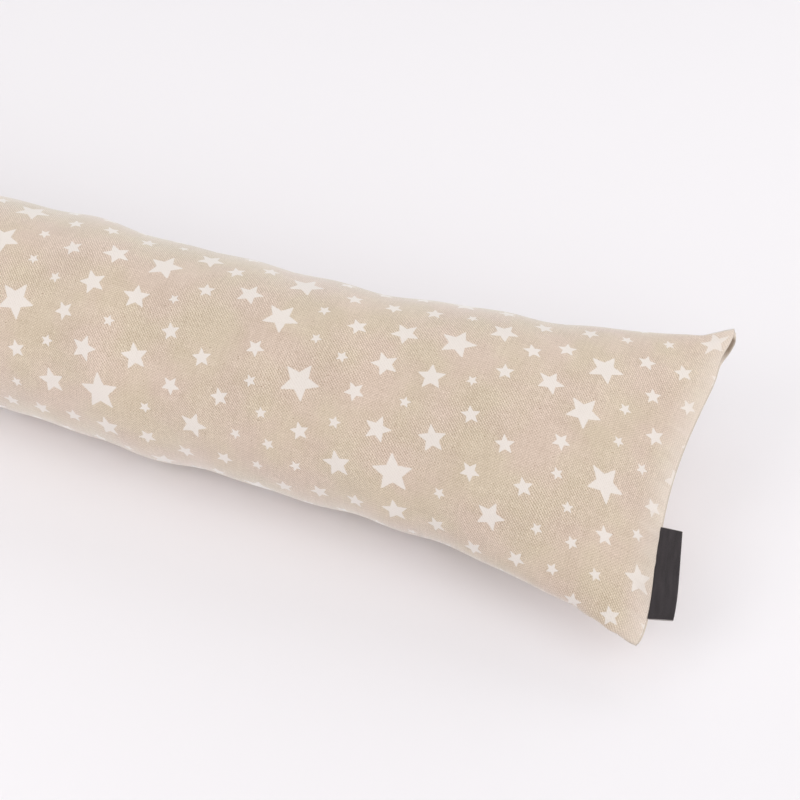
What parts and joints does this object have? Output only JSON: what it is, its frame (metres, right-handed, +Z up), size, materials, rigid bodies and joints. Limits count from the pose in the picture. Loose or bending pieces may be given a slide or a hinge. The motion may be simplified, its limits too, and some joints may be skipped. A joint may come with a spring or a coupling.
{
  "type": "draught excluder",
  "caption": "Long filled fabric roll with flat-sewn, eared ends and a small folded side label, for lying along the foot of a door or window.",
  "frame": {"origin": "on the floor under the middle of the roll's whole length and width", "axes": "+X along the roll towards the labelled end, +Y to the back, +Z up from the flat underside"},
  "size_m": [0.9092, 0.1964, 0.1229],
  "materials": {
    "case_cloth": "natural beige cotton canvas in a half-panama weave, printed with off-white stars, matt",
    "label_ribbon": "charcoal woven ribbon, bare, slight satin"
  },
  "bodies": {
    "root": {"filled_case": "case_cloth", "side_label": "label_ribbon"}
  },
  "joints": []
}
